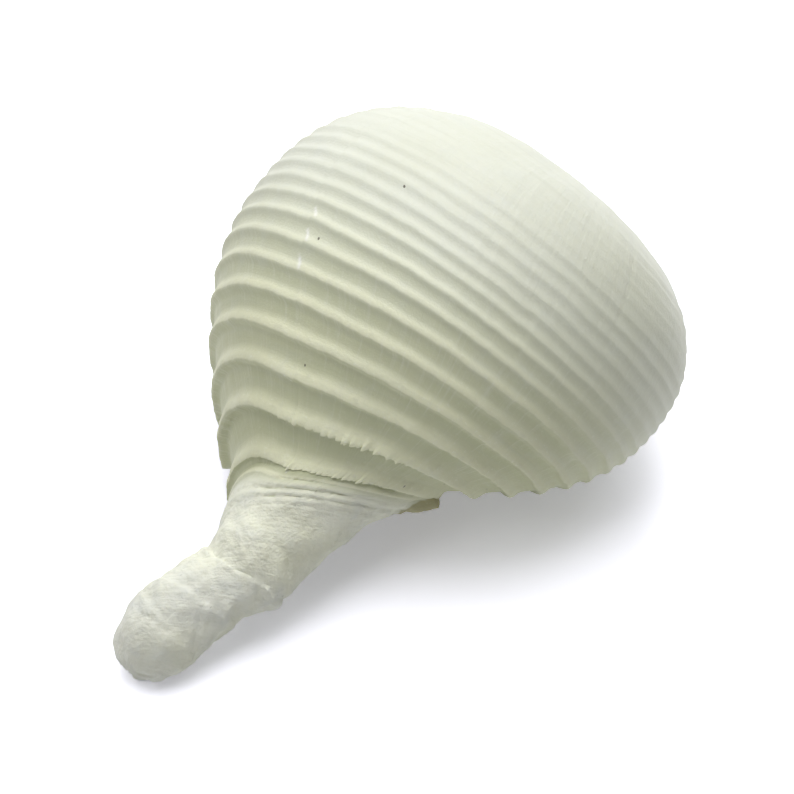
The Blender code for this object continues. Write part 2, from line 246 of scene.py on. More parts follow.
class ShellSizes(bpy.types.PropertyGroup):
    """Sizes and colours of the shell that may be changed."""

    rib_relief: bpy.props.FloatProperty(
        name="Rib relief", description="Depth of the spiral ribs against the measured ones",
        default=1.0, min=0.0, max=1.5, subtype="FACTOR")
    scale_height: bpy.props.FloatProperty(
        name="Scale height", description="Height of the scales on the lowest ribs",
        default=0.00045, min=0.0, max=0.002, unit="LENGTH")
    canal_lumps: bpy.props.FloatProperty(
        name="Canal lumps", description="Height of the chalky lumps and layers of the canal",
        default=0.00034, min=0.0, max=0.001, unit="LENGTH")
    papery_white: bpy.props.FloatVectorProperty(
        name="Papery white", description="Colour of the clean upper whorl",
        default=(0.79, 0.81, 0.70), size=3, min=0.0, max=1.0, subtype="COLOR")
    # Partly painted shade: the lower whorl turns darker and more olive towards the base, where shade
    # falls
    lower_cream_and_shade: bpy.props.FloatVectorProperty(
        name="Lower cream", description="Colour of the lower whorl between crests and grooves",
        default=(0.70, 0.715, 0.485), size=3, min=0.0, max=1.0, subtype="COLOR")
    # Partly painted shade: the grooves are darkest just under each crest, where its shadow falls
    valley_olive_and_shade: bpy.props.FloatVectorProperty(
        name="Valley olive", description="Colour of the grooves between the lower ribs",
        default=(0.60, 0.625, 0.405), size=3, min=0.0, max=1.0, subtype="COLOR")
    # Partly chalky crests, partly painted highlight where the light falls on them
    crest_cream_and_highlight: bpy.props.FloatVectorProperty(
        name="Crest cream", description="Colour of the crests of the lower ribs",
        default=(0.90, 0.905, 0.665), size=3, min=0.0, max=1.0, subtype="COLOR")
    canal_chalk: bpy.props.FloatVectorProperty(
        name="Canal chalk", description="Colour of the chalky canal",
        default=(0.85, 0.86, 0.765), size=3, min=0.0, max=1.0, subtype="COLOR")
    # Painted shade: the thin inner lip is coloured dark olive for the shade it lies in behind the neck
    inner_olive_and_shade: bpy.props.FloatVectorProperty(
        name="Inner lip olive", description="Colour of the thin inner lip",
        default=(0.44, 0.41, 0.21), size=3, min=0.0, max=1.0, subtype="COLOR")


class StageSizes(bpy.types.PropertyGroup):
    """Sizes of the floor and the strength of the light."""

    floor_width: bpy.props.FloatProperty(
        name="Floor width", description="Width of the square floor", default=6.0, unit="LENGTH")
    light: bpy.props.FloatProperty(
        name="Light", description="Strength of the soft lights against the measured ones",
        default=1.0, min=0.0)
    sky: bpy.props.FloatProperty(
        name="Sky", description="Strength of the even light all round", default=0.03, min=0.0)


def smooth_step(value):
    """0 below 0, 1 above 1, and a smooth rise between."""
    value = np.clip(value, 0.0, 1.0)
    return value * value * (3.0 - 2.0 * value)


def rise(value, start, length):
    """0 up to the start, 1 a length past it, and a smooth rise between."""
    return smooth_step((value - start) / length)


def even_noise(u, v, seed):
    """Smooth noise from -1 to 1 over a unit lattice."""
    lattice = np.random.default_rng(SEED + seed).uniform(-1.0, 1.0, (97, 97))
    u, v = np.broadcast_arrays(np.asarray(u, dtype=float), np.asarray(v, dtype=float))
    left, low = np.floor(u).astype(int), np.floor(v).astype(int)
    across, up = smooth_step(u - left), smooth_step(v - low)

    def corner(i, j):
        return lattice[(left + i) % 97, (low + j) % 97]

    lower = corner(0, 0) * (1 - across) + corner(1, 0) * across
    upper = corner(0, 1) * (1 - across) + corner(1, 1) * across
    return lower * (1 - up) + upper * up


def layered_noise(layers, theta, arc):
    return sum(height * even_noise(theta * along, arc * down, seed)
               for height, along, down, seed in layers)


def unit(vectors):
    return vectors / np.maximum(np.linalg.norm(vectors, axis=-1), 1e-9)[..., None]


def walked(points):
    """Distance walked along a line of points, from 0 at the first."""
    return np.concatenate([[0.0], np.cumsum(np.linalg.norm(np.diff(points, axis=0), axis=1))])


def even_shares(count):
    return np.arange(1, count + 1) / count


def spline_through(points, samples=2000):
    """A natural cubic spline through the points, as dense points at even chord steps."""
    points = np.array(points, dtype=float)
    knots = walked(points)
    gaps = np.diff(knots)
    count = len(points)
    system = np.eye(count)
    target = np.zeros_like(points)
    for i in range(1, count - 1):
        system[i, i - 1:i + 2] = gaps[i - 1], 2.0 * (gaps[i - 1] + gaps[i]), gaps[i]
        target[i] = 6.0 * ((points[i + 1] - points[i]) / gaps[i]
                           - (points[i] - points[i - 1]) / gaps[i - 1])
    bend = np.linalg.solve(system, target)
    where = np.linspace(0.0, knots[-1], samples)
    span = np.clip(np.searchsorted(knots, where, side="right") - 1, 0, count - 2)
    gap = gaps[span][:, None]
    before = (where - knots[span])[:, None]
    after = gap - before
    return (bend[span] * after ** 3 + bend[span + 1] * before ** 3) / (6.0 * gap) \
        + (points[span] / gap - bend[span] * gap / 6.0) * after \
        + (points[span + 1] / gap - bend[span + 1] * gap / 6.0) * before


class Outline:
    """The whorl outline by arc length, with its outward normal."""

    def __init__(self, points):
        self.points = spline_through(points)
        self.arc = walked(self.points)
        tangent = unit(np.gradient(self.points, self.arc, axis=0))
        self.normals = np.stack([-tangent[:, 1], tangent[:, 0]], axis=1)
        self.length = self.arc[-1]

    def at(self, arc, offset):
        point = [np.interp(arc, self.arc, self.points[:, axis]) for axis in range(2)]
        normal = [np.interp(arc, self.arc, self.normals[:, axis]) for axis in range(2)]
        return point[0] + normal[0] * offset, point[1] + normal[1] * offset


OUTLINE = Outline(WHORL_OUTLINE)
CHORDS = np.linalg.norm(np.diff(WHORL_OUTLINE, axis=0), axis=1)
COVERED_ARC = np.interp(sum(CHORDS[:2]) / sum(CHORDS), np.linspace(0.0, 1.0, len(OUTLINE.arc)),
                        OUTLINE.arc)
CHAMBER_CORNER_ARC = COVERED_ARC * 0.62


def rib_crests():
    """Arc lengths of the rib crests, from the faint threads on the shoulder down on to the neck."""
    crests = [OUTLINE.length - LOWEST_RIB_ABOVE_BASE]
    for number in range(RIB_COUNT + SHOULDER_THREADS - 1):
        spacing = max(WIDEST_RIB_SPACING * RIB_SPACING_RATIO ** number, CLOSEST_RIB_SPACING)
        crests.append(crests[-1] - spacing)
    crests.reverse()
    start = OUTLINE.length + 1.0
    return np.array(crests + [start + NECK_RIB_SPACING * number for number in range(NECK_RIBS)])


CRESTS = rib_crests()
FIRST_RIB = SHOULDER_THREADS
LOWEST_RIB = FIRST_RIB + RIB_COUNT - 1


def rib_height(arc):
    """Height of a rib crest above its valley, growing to the base and fading down the neck."""
    share = np.clip(arc - COVERED_ARC, 0.0, None) / (OUTLINE.length - COVERED_ARC)
    height = RIB_HEIGHT_AT_SHOULDER + (RIB_HEIGHT_AT_BASE - RIB_HEIGHT_AT_SHOULDER) \
        * np.minimum(share, 1.0) ** 2.3
    below = np.clip(arc - CRESTS[LOWEST_RIB], 0.0, None) / (NECK_RIBS * NECK_RIB_SPACING)
    return height * (1.0 - 0.72 * smooth_step(below * 12.0)) * (1.0 - rise(below, 0.6, 0.4))


def rib_place(arc):
    """The crest below each point, the rib spacing there, and how far down the point has come."""
    number = np.clip(np.searchsorted(CRESTS, arc, side="left"), 1, len(CRESTS) - 1)
    spacing = CRESTS[number] - CRESTS[number - 1]
    return number, spacing, (arc - CRESTS[number - 1]) / spacing


def cord(arc):
    """Rib profile, 1 on a crest and 0 in a valley: steep to the canal, long to the spire."""
    _, spacing, share = rib_place(arc)
    start = 0.1 * smooth_step(rib_height(arc) / 0.8)
    width = np.minimum(0.95, 0.45 * spacing)
    under = (1.0 - rise(share * spacing, start, width)) * (share >= 0.0)
    rest = np.clip(1.0 - share, 0.0, None)
    over = 0.8 * (1.0 - rise(rest, 0.02, 0.32)) + 0.2 * (1.0 - smooth_step(rest / 0.9))
    return 1.0 - (1.0 - under) * (1.0 - over)


def droop(arc, theta):
    """How far the lower ribs hang towards the canal over the back."""
    far, near = DROOP_REACH
    down = np.clip((far - OUTLINE.length + arc) / (far - near), 0.0, 1.0)
    ease = 1.0 - rise(arc, CRESTS[LOWEST_RIB] + 1.0, 9.0)
    begin, full, end = DROOP_ANGLES
    along = rise(-theta, begin, full - begin) * (1.0 - rise(-theta, full, end - full))
    return DROOP * down ** 0.8 * ease * along


def shoulder_to_base():
    """Arc lengths of the mesh rows from the suture to the base."""
    rows = list(np.linspace(0.0, COVERED_ARC, SUTURE_ROWS + 1))
    rows += list(np.linspace(COVERED_ARC, CRESTS[FIRST_RIB], SHOULDER_ROWS + 1))[1:]
    for number in range(FIRST_RIB + 1, LOWEST_RIB + 1):
        steps = RIB_STEPS if number > LOWEST_RIB + 1 - STRONG_RIBS else FINE_RIB_STEPS
        rows += [CRESTS[number - 1] + (CRESTS[number] - CRESTS[number - 1]) * step for step in steps]
    below = CRESTS[LOWEST_RIB]
    return np.array(rows + [below + 0.15, below + 0.4, OUTLINE.length])


ARCS = shoulder_to_base()
BASE_ROW = len(ARCS) - 1
CANAL_ROW = BASE_ROW + NECK_ROWS
SLOT_END_ROW = CANAL_ROW + CANAL_ROWS


def grown_columns():
    """Growth angles of the mesh columns over the last turn, closer together on the back."""
    fine = np.linspace(0.0, 1.0, 4000)
    theta = -tau + tau * fine
    density = 1.0 + 0.75 * np.exp(-((theta + 2.5) / 1.25) ** 4) \
        + 2.5 * np.exp(-((theta - SCAR_ANGLE) / 0.05) ** 2)
    reach = np.concatenate([[0.0], np.cumsum((density[1:] + density[:-1]) / 2.0)])
    return np.interp(np.linspace(0.0, 1.0, COLUMNS + 1), reach / reach[-1], theta)


def lean(arc):
    """How far the growth lines turn back towards the canal."""
    return GROWTH_LINE_LEAN * rise(arc, COVERED_ARC, OUTLINE.length - COVERED_ARC)


def on_axis(radius, height, azimuth):
    """A point at this radius, height and azimuth of the coiling axis."""
    radius, height, azimuth = np.broadcast_arrays(radius, height, azimuth)
    return np.stack([radius * np.sin(azimuth), -radius * np.cos(azimuth), height], axis=-1)


def whorl_point(arc, offset, theta, turn_back=0):
    """A point of the whorl, raised by the offset, on this turn or on the one before."""
    azimuth = LIP_AZIMUTH - theta + lean(arc)
    scale = np.exp(-GROWTH_RATE * azimuth) / TURN_GROWTH ** turn_back
    radius, height = OUTLINE.at(arc, offset)
    return on_axis(radius * scale, height * scale, azimuth)


def scale_beats(seed, first, last, shortest, longest):
    """Edges of the scales along one rib and how far each scale stands out."""
    dice = np.random.default_rng(SEED + seed)
    edges = [first]
    while edges[-1] < last:
        edges.append(edges[-1] + radians(dice.uniform(shortest, longest)))
    return np.array(edges), 0.2 + 0.8 * dice.uniform(0.0, 1.0, len(edges)) ** 1.5


def sawtooth(theta, beats, power=0.8, drop=0.16):
    """Rises along each scale in the direction of growth and drops at its free edge."""
    edges, heights = beats
    number = np.clip(np.searchsorted(edges, theta, side="right") - 1, 0, len(edges) - 2)
    share = np.clip((theta - edges[number]) / (edges[number + 1] - edges[number]), 0.0, 1.0)
    return heights[number] * share ** power * (1.0 - rise(share, 1.0 - drop, drop))


class Relief:
    """What stands on the smooth whorl: ribs, scales, growth lines and scars."""

    def __init__(self, sizes):
        self.rib_relief = sizes.rib_relief
        self.scale_height = sizes.scale_height / MM
        start = -tau * (1 + SPIRE_TURNS) - 0.2
        self.growth_beats = scale_beats(1, start, 0.3, 1.4, 4.2)
        self.rib_beats = [scale_beats(10 + number, start, 0.3, 3.0, 6.5)
                          for number in range(len(CRESTS))]
        self.rib_beats[LOWEST_RIB - 1] = scale_beats(40, FIRST_SCALE_ANGLE, 0.3, 2.2, 4.8)
        self.rib_beats[LOWEST_RIB] = scale_beats(41, FIRST_SCALE_ANGLE, 0.3, 2.6, 4.4)
        down = np.clip((np.arange(len(CRESTS)) - 8.0) / (LOWEST_RIB - 8.0), 0.0, 1.0)
        self.rib_strength = FAINT_STRENGTH * down ** 1.5
        self.rib_strength[LOWEST_RIB - 1:LOWEST_RIB + 1] = SCALY_STRENGTH
        self.rib_strength[LOWEST_RIB + 1:] = NECK_STRENGTH

    def crest_nearness(self, share):
        """1 on a crest, fading above and below it."""
        return np.maximum(np.exp(-((1.0 - share) / 0.12) ** 2), np.exp(-(share / 0.09) ** 2))

    def scales(self, arc, theta):
        """Outward growth of the scales at the crest nearest to each point."""
        number, _, share = rib_place(arc)
        nearest, theta = np.broadcast_arrays(np.where(share > 0.5, number, number - 1), theta)
        total = np.zeros(theta.shape)
        for rib in np.unique(nearest):
            here = nearest == rib
            along = theta[here]
            wear = smooth_step(0.85 + 0.9 * even_noise(along * 2.3, rib * 3.7, 5))
            height = self.rib_strength[rib] * wear
            if rib >= LOWEST_RIB - 1:
                back = 0.15 + 0.85 * np.exp(-((along - SCALY_ANGLE) / SCALY_SPREAD) ** 4)
                crumbs = 1.0 + CRUMBLING * even_noise(along * 61.0, rib * 1.7, 8)
                total[here] = sawtooth(along, self.rib_beats[rib], 0.4, 0.3) * height * back * crumbs
            else:
                total[here] = sawtooth(along, self.rib_beats[rib], 0.9, 0.2) * height
        return total * self.crest_nearness(share)

    def shift(self, arc, theta):
        """Moves points along the outline: wavering crests that overhang towards the canal."""
        _, _, share = rib_place(arc)
        height = rib_height(arc) * self.rib_relief
        waver = layered_noise(WAVER, theta, arc) \
            + layered_noise(CREST_WAVER, theta, arc) * smooth_step(rib_height(arc) / 0.9)
        over = self.crest_nearness(share) * CREST_OVERHANG * height
        hang = SCALE_OVERHANG * self.scale_height * self.scales(arc, theta)
        past = theta - SCAR_ANGLE
        jump = SCAR_JUMP * np.exp(-np.abs(past) / 0.12) * np.sign(past)
        return (waver + (over + hang) + jump) * rise(arc, CRESTS[0], 3.0)

    def offset(self, arc, theta):
        """Height against the crest line."""
        height = rib_height(arc) * self.rib_relief * rise(arc, COVERED_ARC, 4.0)
        swell = layered_noise(SWELL, theta, arc)
        growth = GROWTH_LINE_HEIGHT * (sawtooth(theta, self.growth_beats) - 0.4)
        past = theta - SCAR_ANGLE
        ledge = smooth_step(past / 0.01) * np.exp(-np.abs(past) / 0.15)
        old = np.exp(-((theta - OLD_SCAR_ANGLE) / SCAR_WIDTH) ** 2) * (arc < CRESTS[FIRST_RIB + 6])
        scars = -SCAR_DEPTH * (np.exp(-(past / SCAR_WIDTH) ** 2) + ledge + old)
        window = smooth_step(arc / 0.8) * smooth_step(np.abs(arc - COVERED_ARC) / 0.8)
        fine = (swell + growth + scars) * window
        return height * (cord(arc) - 1.0) + fine + self.scale_height * self.scales(arc, theta)


def canal_centre(height):
    """The canal drifts aside as it goes down and bends away from the aperture."""
    down = CANAL_HEAD_HIGH - height
    drift = NECK_DRIFT + HEAD_DRIFT * smooth_step(down / 7.0) \
        + TIP_DRIFT * smooth_step((TIP_DRIFT_STRETCH[0] - height) / TIP_DRIFT_STRETCH[1])
    bend = CANAL_BEND * (np.clip(down, 0.0, None) / CANAL_LENGTH) ** 2
    return np.stack(np.broadcast_arrays(-drift, bend, height), axis=-1)


def canal_radius(height, azimuth):
    """The canal narrows to its tip, with a shoulder on one side where the neck folds end."""
    narrow = smooth_step((NARROWING_STRETCH[0] - height) / NARROWING_STRETCH[1])
    radius = CANAL_RADIUS + (CANAL_TIP_RADIUS - CANAL_RADIUS) * narrow
    facing = np.clip(np.cos(azimuth - SHOULDER_AZIMUTH), 0.0, None) ** 2
    below = smooth_step((CANAL_SHOULDER + 0.6 - height) / 1.2)
    above = smooth_step((CANAL_SHOULDER + 5.0 - height) / 3.5)
    return radius + CANAL_SHOULDER_WIDTH * facing * (1.0 - below) * above


def canal_azimuth(theta, half_gap):
    return SLOT_AZIMUTH + half_gap - (tau - 2.0 * half_gap) * theta / tau


def canal_point(height, azimuth, shrink=1.0):
    radius = canal_radius(height, azimuth) * shrink
    return canal_centre(height) + on_axis(radius, 0.0, azimuth)


def canal_head(theta):
    return CANAL_HEAD_HIGH - CANAL_HEAD_DROP * ((theta + tau) / tau) ** 1.2


def neck_curve(start, heading, end, share):
    """Cubic curves from the whorl base, along its slope, into the upright canal."""
    reach = np.linalg.norm(end - start, axis=-1)[..., None]
    share = np.asarray(share)[..., None]
    upright = np.array([0.0, 0.0, 1.0])
    handles = [start, start + heading * reach * NECK_START_HANDLE,
               end + upright * reach * NECK_END_HANDLE, end]
    weights = [(1 - share) ** 3, 3 * share * (1 - share) ** 2, 3 * share ** 2 * (1 - share), share ** 3]
    return sum(weight * handle for weight, handle in zip(weights, handles))


def base_heading(theta):
    return unit(whorl_point(OUTLINE.length, 0.0, theta) - whorl_point(OUTLINE.length - 3.0, 0.0, theta))


def inner_lip_rise(theta, below_base):
    """The inner lip stands off the base for a third of a turn, with a steep free edge."""
    behind = theta + tau
    along = 1.0 - smooth_step((behind / INNER_LIP_SPREAD - 0.82) / 0.18)
    across = np.exp(-((below_base - 1.8) / 3.2) ** 2)
    start = 0.35 + 0.65 * np.minimum(behind / radians(40.0), 1.0)
    return INNER_LIP_RISE * along * across * start


def mesh_normals(points):
    along = np.gradient(points, axis=0)
    down = np.gradient(points, axis=1)
    return unit(np.cross(down, along))


# Lumps of the canal: weight, waves around, and drift down the canal of both noise directions
CANAL_LUMPS = ((1.0, 1.5, 0.33, -0.14), (0.55, 3.2, 0.1, 0.62), (0.30, 7.0, -0.9, 1.1))

# Free edges of the canal's layers: height, tilt, azimuth of the low side, step
CANAL_LAYERS = (
    (-56.2, 1.6, 2.2, 0.16),
    (-59.4, 1.0, -0.6, 0.34),
    (-62.4, 1.4, 0.9, 0.15),
    (-65.3, 0.9, -1.4, 0.22),
    (-68.6, 1.3, 0.3, 0.13),
    (-71.2, 0.8, -2.0, 0.20),
    (-73.4, 0.7, 0.8, 0.24),
    (-74.9, 0.5, -0.7, 0.20),
)


def canal_relief(height, azimuth, sizes):
    """Chalky lumps and the free edges of the layers wrapped round the canal."""
    x, y = np.cos(azimuth), np.sin(azimuth)
    lumps = sum(weight * even_noise(x * waves + height * first, y * waves + height * second, 20 + number)
                for number, (weight, waves, first, second) in enumerate(CANAL_LUMPS))
    layers = 0.0
    for number, (level, tilt, low_side, step) in enumerate(CANAL_LAYERS):
        edge = level - tilt * np.cos(azimuth - low_side) \
            + 0.35 * even_noise(x * 2.5, y * 2.5 + number, 23 + number)
        above = height - edge
        layers = layers + 1.5 * step * smooth_step(above / 0.3) * np.exp(-np.clip(above, 0.0, None) / 1.5)
    return sizes.canal_lumps / MM * lumps + layers - CHALK_SUNK


def smooth_lower_part(theta):
    """Plain neck, canal and tip down each column from the base, with the arc length there."""
    half_gap = SLOT_HALF_WIDTH / CANAL_RADIUS
    head = canal_head(theta)
    head_point = canal_point(head, canal_azimuth(theta, half_gap))
    start = whorl_point(OUTLINE.length, 0.0, theta)
    neck = neck_curve(start, base_heading(theta), head_point, even_shares(NECK_ROWS)[None, :])
    share = even_shares(CANAL_ROWS)[None, :]
    height = head + (CANAL_ROUND_START - head) * share
    canal = canal_point(height, canal_azimuth(theta, half_gap * (1.0 - share ** 4)))
    angles = (math.pi / 2 * np.arange(1, TIP_ROWS) / TIP_ROWS)[None, :]
    tip_height = CANAL_ROUND_START + (CANAL_END - CANAL_ROUND_START) * np.sin(angles) + 0.0 * theta
    tip = canal_point(tip_height, canal_azimuth(theta, 0.0), np.cos(angles))
    points = np.concatenate([start, neck, canal, tip], axis=1)
    steps = np.linalg.norm(np.diff(points, axis=1), axis=-1)
    reach = OUTLINE.length + np.concatenate([np.zeros_like(theta), np.cumsum(steps, axis=1)], axis=1)
    return points, reach


def lower_normals(points, reach, theta):
    """Normals of the neck and canal, which start as those of the whorl they grow from."""
    normals = mesh_normals(points)
    normals[:, -3:] = normals[:, -4:-3]
    first = unit(whorl_point(OUTLINE.length, 1.0, theta) - points[:, :1])
    return first + (normals - first) * rise(reach, OUTLINE.length, 4.0)[..., None]


def lower_relief(relief, points, reach, theta, sizes):
    """Heights of the neck folds, and of the folds with the canal's lumps and layers."""
    neck = np.s_[:, :NECK_ROWS + 1]
    packed = 1.0 + 0.45 * rise(-theta[neck], *NECK_RIB_FAN)
    ribs = np.zeros(reach.shape)
    ribs[neck] = relief.offset(OUTLINE.length + (reach[neck] - OUTLINE.length) * packed, theta[neck])
    away = points - canal_centre(points[..., 2])
    chalk = rise(reach, OUTLINE.length + 2.0, 9.0)
    lumps = canal_relief(points[..., 2], np.arctan2(away[..., 0], -away[..., 1]), sizes) * chalk
    slot = np.minimum(theta - theta[0, 0], -theta)
    free = smooth_step(slot / 0.10)
    return ribs, (ribs * (1.0 - chalk) + lumps) * (0.25 + 0.75 * free)


def outer_sheet(relief, sizes):
    """Points of the last whorl, neck and canal, with the masks its finish reads."""
    theta = grown_columns()[:, None]
    smooth, reach = smooth_lower_part(theta)
    normals = lower_normals(smooth, reach, theta)
    ribs, height = lower_relief(relief, smooth, reach, np.broadcast_to(theta, reach.shape), sizes)

    def below(where, height):
        """Points on the columns this far down, raised by the height."""
        spots = [[np.interp(*line) for line in zip(where, reach, values[..., axis])]
                 for values in (smooth, normals) for axis in range(3)]
        spots = np.moveaxis(np.array(spots), 0, -1)
        return spots[..., :3] + spots[..., 3:] * height[..., None]

    arcs = ARCS[None, :]
    moved = arcs + relief.shift(arcs, theta) + droop(arcs, theta)
    offset = relief.offset(arcs, theta)
    whorl = whorl_point(np.minimum(moved, OUTLINE.length), offset, theta)
    whorl = np.where((moved > OUTLINE.length)[..., None], below(moved, offset), whorl)
    at_base = reach < OUTLINE.length + 0.001
    lowered = reach + relief.shift(reach, theta) * at_base + droop(reach, theta)
    seam = whorl[:, -1:] - below(lowered[:, :1], ribs[:, :1])
    blend = np.clip(1.0 - np.arange(reach.shape[1]) / 4.0, 0.0, 1.0)[None, :, None]
    raised = below(lowered, height) + seam * blend
    points = np.concatenate([whorl, raised[:, 1:]], axis=1)

    down = np.concatenate([ARCS - OUTLINE.length, even_shares(NECK_ROWS) * NECK_LENGTH])
    lift = inner_lip_rise(theta, down[None, :])
    near = points[:, :CANAL_ROW + 1]
    near += unit(near * np.array([1.0, 1.0, 0.0])) * lift[..., None]
    end = np.broadcast_to(canal_centre(np.array(CANAL_END + 0.3)), (len(theta), 1, 3))
    points = np.concatenate([points, end], axis=1)
    arc = np.concatenate([np.broadcast_to(ARCS, (len(theta), len(ARCS))), reach[:, 1:],
                          reach[:, -1:] + 0.5], axis=1)
    theta = np.broadcast_to(theta, arc.shape)
    return points, theta, arc, outside_masks(arc, theta, lift)


def outside_masks(arc, theta, lift):
    """Where each colour lies, painted shade and highlight among them: by the way down, the growth angle
    and the rib profile.
    """
    below = arc - OUTLINE.length
    _, _, share = rib_place(np.minimum(arc, CRESTS[-1]))
    # Partly painted shade: a darker, more olive colour grows towards the base of the whorl
    lower = rise(arc, CRESTS[FIRST_RIB + 2], 22.0) * (1.0 - rise(below, 3.0, 6.0))
    # Painted shade: the whorl darkens towards its back and towards the lip, where it turns from the light
    back_shade = rise(-theta, radians(125.0), radians(65.0))
    lip_shade = rise(theta, radians(-90.0), radians(34.0))
    # The painted highlight on the crests fades over the back, which the light reaches less
    highlight_fade = rise(-theta, radians(170.0), radians(40.0))
    crest = np.maximum(rise(share, 0.66, 0.18), 1.0 - smooth_step(share / 0.05))
    whorl = rise(arc, COVERED_ARC, 9.0) * (1.0 - smooth_step(below / 4.0))
    masks = plain_masks(
        arc.shape,
        lower=lower,
        neck=smooth_step(below / 3.0) * (1.0 - rise(below, 16.0, 7.0)),
        shaded=np.maximum(back_shade, 0.8 * lip_shade) * whorl,
        # Painted shade in the grooves, strongest just under the crest above
        valley=lower * (1.0 - rise(share, 0.45, 0.38)) * smooth_step(share / 0.08),
        # Partly painted highlight: the crests are lighter, less so over the back
        crest=lower * (1.0 - 0.7 * highlight_fade) * crest,
        chalk=rise(below, 1.0, 7.0),
        scar=scar_ticks(arc, theta))
    # Painted shade: the inner lip gets its dark olive here
    masks["inner_lip"][:, :CANAL_ROW + 1] = smooth_step(lift / 1.1)
    return masks


def scar_ticks(arc, theta):
    """Short pale slanted lines left where the lip once broke and healed."""
    marks = np.zeros(arc.shape)
    for rib, angle, start, end in SCAR_TICKS:
        along = (arc - CRESTS[rib] - start) / (end - start)
        middle = radians(angle) + 0.035 * (0.5 - along)
        across = np.exp(-((theta - middle) / 0.008) ** 2)
        marks = np.maximum(marks, across * smooth_step(along / 0.2) * smooth_step((1.0 - along) / 0.2))
    return marks


def plain_masks(shape, **given):
    """Every mask the finish reads, 0 where it isn't given."""
    return {name: np.zeros(shape) + given.get(name, 0.0) for name in MASKS}


def spire_sheet(relief):
    """Points of the earlier turns, as far as the last whorl leaves them free."""
    turns = np.concatenate([grown_columns() - tau * back for back in range(SPIRE_TURNS, 0, -1)])
    theta = np.unique(np.round(turns, 9))[:, None]
    arcs = ARCS[None, :SUTURE_ROWS + 1]
    points = whorl_point(arcs, relief.offset(arcs, theta), theta)
    shape = points.shape[:2]
    return points, np.broadcast_to(theta, shape), np.broadcast_to(arcs, shape), plain_masks(shape)


def apex_sheet(spire):
    """A fan that closes the start of the spire."""
    turn = (len(spire) - 1) // SPIRE_TURNS
    ring = np.concatenate([spire[:turn + 1, 0], spire[0, SUTURE_ROWS - 1:0:-1], spire[:1, 0]])
    points = np.stack([ring, np.broadcast_to(ring.mean(axis=0), ring.shape)])
    shape = points.shape[:2]
    return points, np.zeros(shape), np.zeros(shape), plain_masks(shape)


def squeezed(arc, start, first, reach):
    """Arc lengths pushed along so that the row at the start lies at the first."""
    share = np.clip(1.0 - (arc - start) / reach, 0.0, None)
    return arc + (first - start) * share ** 2


def chamber_walls(theta, follow, relief):
    """Inside of the outer wall and the turn before it, both from the suture to the base."""
    outer_arc = squeezed(ARCS, 0.0, CHAMBER_CORNER_ARC, 16.0)
    ribbed = relief.offset(ARCS, theta)
    offset = follow * ribbed - (1.0 - follow) * rib_height(ARCS) - WALL
    outer = whorl_point(outer_arc + follow * relief.shift(ARCS, theta), offset, theta)
    inner_arc = squeezed(ARCS[SUTURE_ROWS:], COVERED_ARC, COVERED_ARC + 3.0, 14.0)
    inner = whorl_point(inner_arc, -rib_height(inner_arc) * 0.3 + CALLUS, theta, turn_back=1)
    outer[0] = (outer[0] + inner[0]) / 2.0
    return outer, inner


def mouth_ring(behind, relief):
    """A ring of the aperture and the canal groove, this many degrees inside the lip."""
    depth, end_height, half_width, follow = [
        np.interp(behind, MOUTH_ANGLES, values)
        for values in (MOUTH_DEPTH, MOUTH_END, MOUTH_HALF_WIDTH, MOUTH_FOLLOW)]
    theta = -radians(behind)
    slot = np.array([math.sin(SLOT_AZIMUTH), -math.cos(SLOT_AZIMUTH), 0.0])
    lip_side = np.array([math.cos(SLOT_AZIMUTH), math.sin(SLOT_AZIMUTH), 0.0])
    outer, inner = chamber_walls(theta, follow, relief)

    def groove(height, side, share):
        across = half_width * np.sqrt(np.clip(1.0 - share ** 4, 0.0, None)) * side
        deep = canal_radius(height, SLOT_AZIMUTH) - depth
        return canal_centre(height) + slot * deep[..., None] + lip_side * across[..., None]

    lines = []
    for side, line, turn in ((1.0, outer, theta), (-1.0, inner, theta - tau)):
        head = np.array(canal_head(max(turn, -tau)))
        head_point = groove(head, side, np.array(0.0))
        neck = neck_curve(line[-1], base_heading(np.array(theta)), head_point, even_shares(NECK_ROWS))
        share = even_shares(CANAL_ROWS)
        canal = groove(head + (end_height - head) * share, side, share)
        lines.append(np.concatenate([line, neck, canal]))
    return np.concatenate([lines[0], lines[1][-2:0:-1]])


def chamber_ring(behind, relief):
    """A ring of the body chamber down to its floor on the columella."""
    theta = -radians(behind)
    outer, inner = chamber_walls(theta, 0.3, relief)
    azimuth = LIP_AZIMUTH - theta + GROWTH_LINE_LEAN
    scale = math.exp(-GROWTH_RATE * azimuth)
    dip = np.interp(behind, CHAMBER_DIP_ANGLES, CHAMBER_DIP)
    floor = on_axis(CHAMBER_FLOOR[0] * scale, CHAMBER_FLOOR[1] * scale, azimuth)
    floor = floor + (np.array(CANAL_THROAT) - floor) * dip
    column = on_axis(COLUMELLA[0] * scale, COLUMELLA[1] * scale, azimuth)
    share = even_shares(NECK_ROWS + CANAL_ROWS)[:, None]
    down = outer[-1] + (floor - outer[-1]) * share
    back = (1 - share) ** 2 * inner[-1] + 2 * share * (1 - share) * column + share ** 2 * floor
    ring = np.concatenate([outer, down, np.concatenate([inner, back])[-2:0:-1]])
    taper = max(behind - CHAMBER_TAPER_FROM, 0.0) / (CHAMBER_END - CHAMBER_TAPER_FROM)
    centre = ring.mean(axis=0)
    return centre + (ring - centre) * math.sqrt(1.0 - taper ** 2)


